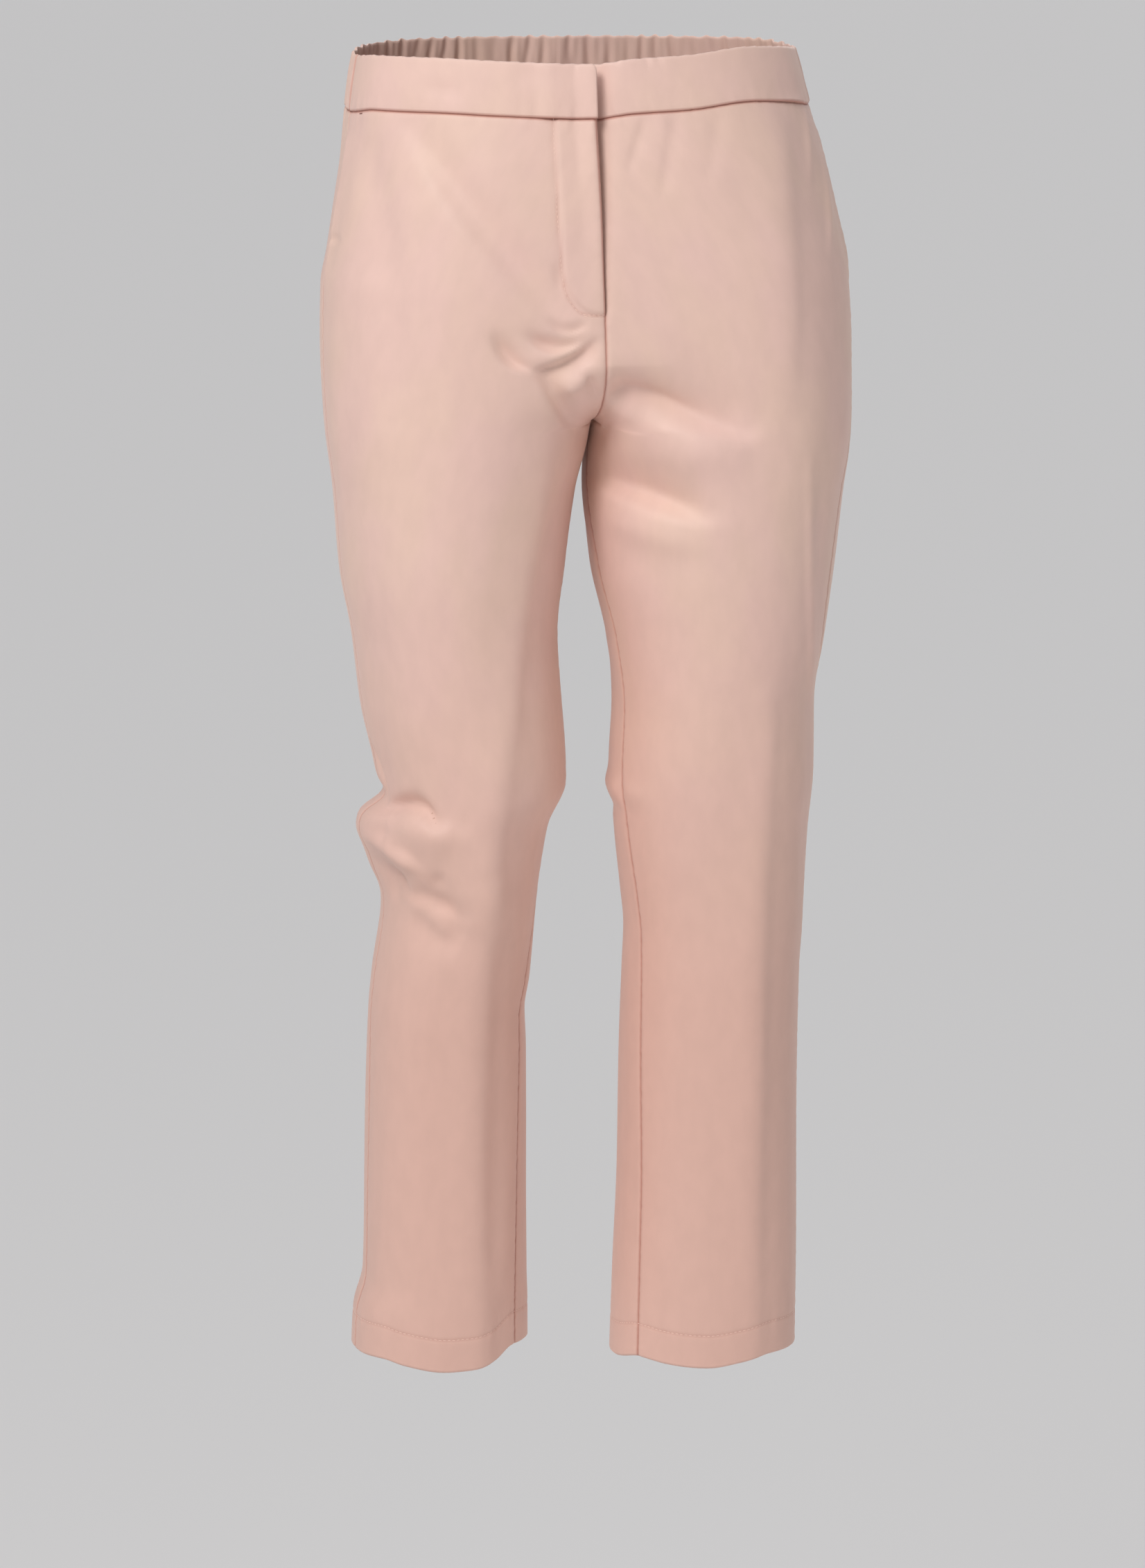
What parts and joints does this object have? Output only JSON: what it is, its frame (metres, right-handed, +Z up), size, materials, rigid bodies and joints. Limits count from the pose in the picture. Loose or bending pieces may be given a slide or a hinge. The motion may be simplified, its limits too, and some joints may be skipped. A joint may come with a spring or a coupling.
{
  "type": "chinos",
  "caption": "Cropped women's chinos in pale pink cotton sateen, flat front waistband, fly, slim straight legs, in their worn, hollow form.",
  "frame": {"origin": "centre of the waist opening, level with the waistband's top edge, where the wearer holds the chinos up", "axes": "+Z up out of the waist opening, -Y out of the chinos' front, +X towards the wearer's left; metres"},
  "size_m": [0.3665, 0.2416, 0.9308],
  "materials": {
    "front_right": "pale pink cotton sateen",
    "front_left": "pale pink cotton sateen",
    "back_right": "pale pink cotton sateen",
    "back_left": "pale pink cotton sateen",
    "band_front_right": "pale pink cotton sateen",
    "band_front_left": "pale pink cotton sateen",
    "band_back": "gathered pale pink cotton sateen",
    "fly_shield": "sateen's matt inner side",
    "fly_zip": "woven zip tape",
    "hem_right": "sateen's matt inner side",
    "hem_left": "sateen's matt inner side",
    "pocket_facing_right": "sateen's matt inner side",
    "pocket_facing_left": "sateen's matt inner side"
  },
  "bodies": {
    "root": {"front_right": "front_right", "front_left": "front_left", "back_right": "back_right", "back_left": "back_left", "band_front_right": "band_front_right", "band_front_left": "band_front_left", "band_back": "band_back", "fly_shield": "fly_shield", "fly_zip": "fly_zip", "hem_right": "hem_right", "hem_left": "hem_left", "pocket_facing_right": "pocket_facing_right", "pocket_facing_left": "pocket_facing_left"}
  },
  "joints": []
}
